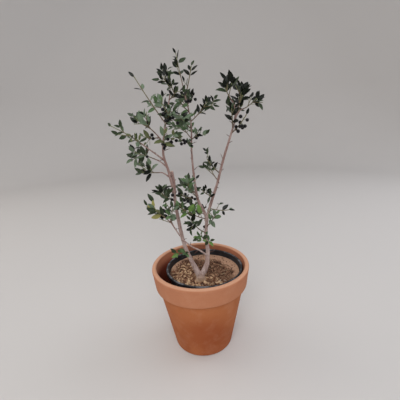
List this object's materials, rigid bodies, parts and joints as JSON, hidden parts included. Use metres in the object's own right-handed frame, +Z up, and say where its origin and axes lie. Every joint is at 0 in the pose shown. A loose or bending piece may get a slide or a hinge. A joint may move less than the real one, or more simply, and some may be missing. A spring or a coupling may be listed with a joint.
{
  "type": "potted phillyrea",
  "caption": "Evergreen patio shrub with slender forked stems, small paired leaves and dark berries, in a black nursery pot inside a terracotta pot.",
  "frame": {"origin": "centre of the terracotta pot's flat underside, on the pot's upright axis, at ground level", "axes": "+Z up along the pot's axis, -Y towards the viewer of the picture (the plant's front), +X to that viewer's right"},
  "size_m": [0.3763, 0.28, 0.8322],
  "materials": {
    "terracotta": "matte",
    "nursery_plastic": "satin",
    "soil": "matte",
    "bark": "matte",
    "foliage": "satin"
  },
  "bodies": {
    "root": {"terracotta_pot": "terracotta", "nursery_pot": "nursery_plastic", "soil": "soil", "trunk": "bark", "left_stem": "bark", "centre_stem": "bark", "right_bough": "bark", "thin_stem": "bark", "pruned_stub": "bark", "far_left_bough": "bark", "mid_left_bough": "bark", "low_left_bough": "bark", "high_left_bough": "bark", "crown_right_bough": "bark", "crown_left_bough": "bark", "foliage_top_shoot": "foliage", "foliage_top_right": "foliage", "foliage_top_left": "foliage", "foliage_upper_tuft": "foliage", "foliage_upper_mid": "foliage", "foliage_upper_right": "foliage", "foliage_upper_left_back": "foliage", "foliage_upper_back": "foliage", "foliage_berry_tuft": "foliage", "foliage_centre_upper": "foliage", "foliage_centre_front": "foliage", "foliage_centre_right": "foliage", "foliage_centre_berries": "foliage", "foliage_centre_back": "foliage", "foliage_left_tuft": "foliage", "foliage_high_left": "foliage", "foliage_long_twig": "foliage", "foliage_far_left": "foliage", "foliage_left_young": "foliage", "foliage_left_inner": "foliage", "foliage_mid_left": "foliage", "foliage_low_left": "foliage", "foliage_left_lower": "foliage", "foliage_thin_tip": "foliage", "foliage_thin_upper": "foliage", "foliage_thin_back": "foliage", "foliage_lush": "foliage", "foliage_lush_left": "foliage", "foliage_lush_back": "foliage", "foliage_lower_mid": "foliage", "foliage_lower_front": "foliage", "foliage_lower_back": "foliage", "foliage_low_stem": "foliage", "foliage_low_right": "foliage", "foliage_low_right_back": "foliage", "foliage_inner_upper": "foliage", "foliage_inner_lower": "foliage", "foliage_inner_back": "foliage", "foliage_crown_left": "foliage", "foliage_crown_mid": "foliage", "foliage_crown_back": "foliage", "foliage_crown_right": "foliage", "foliage_crown_front": "foliage", "foliage_crown_berries": "foliage", "foliage_low_sprig": "foliage"}
  },
  "joints": []
}
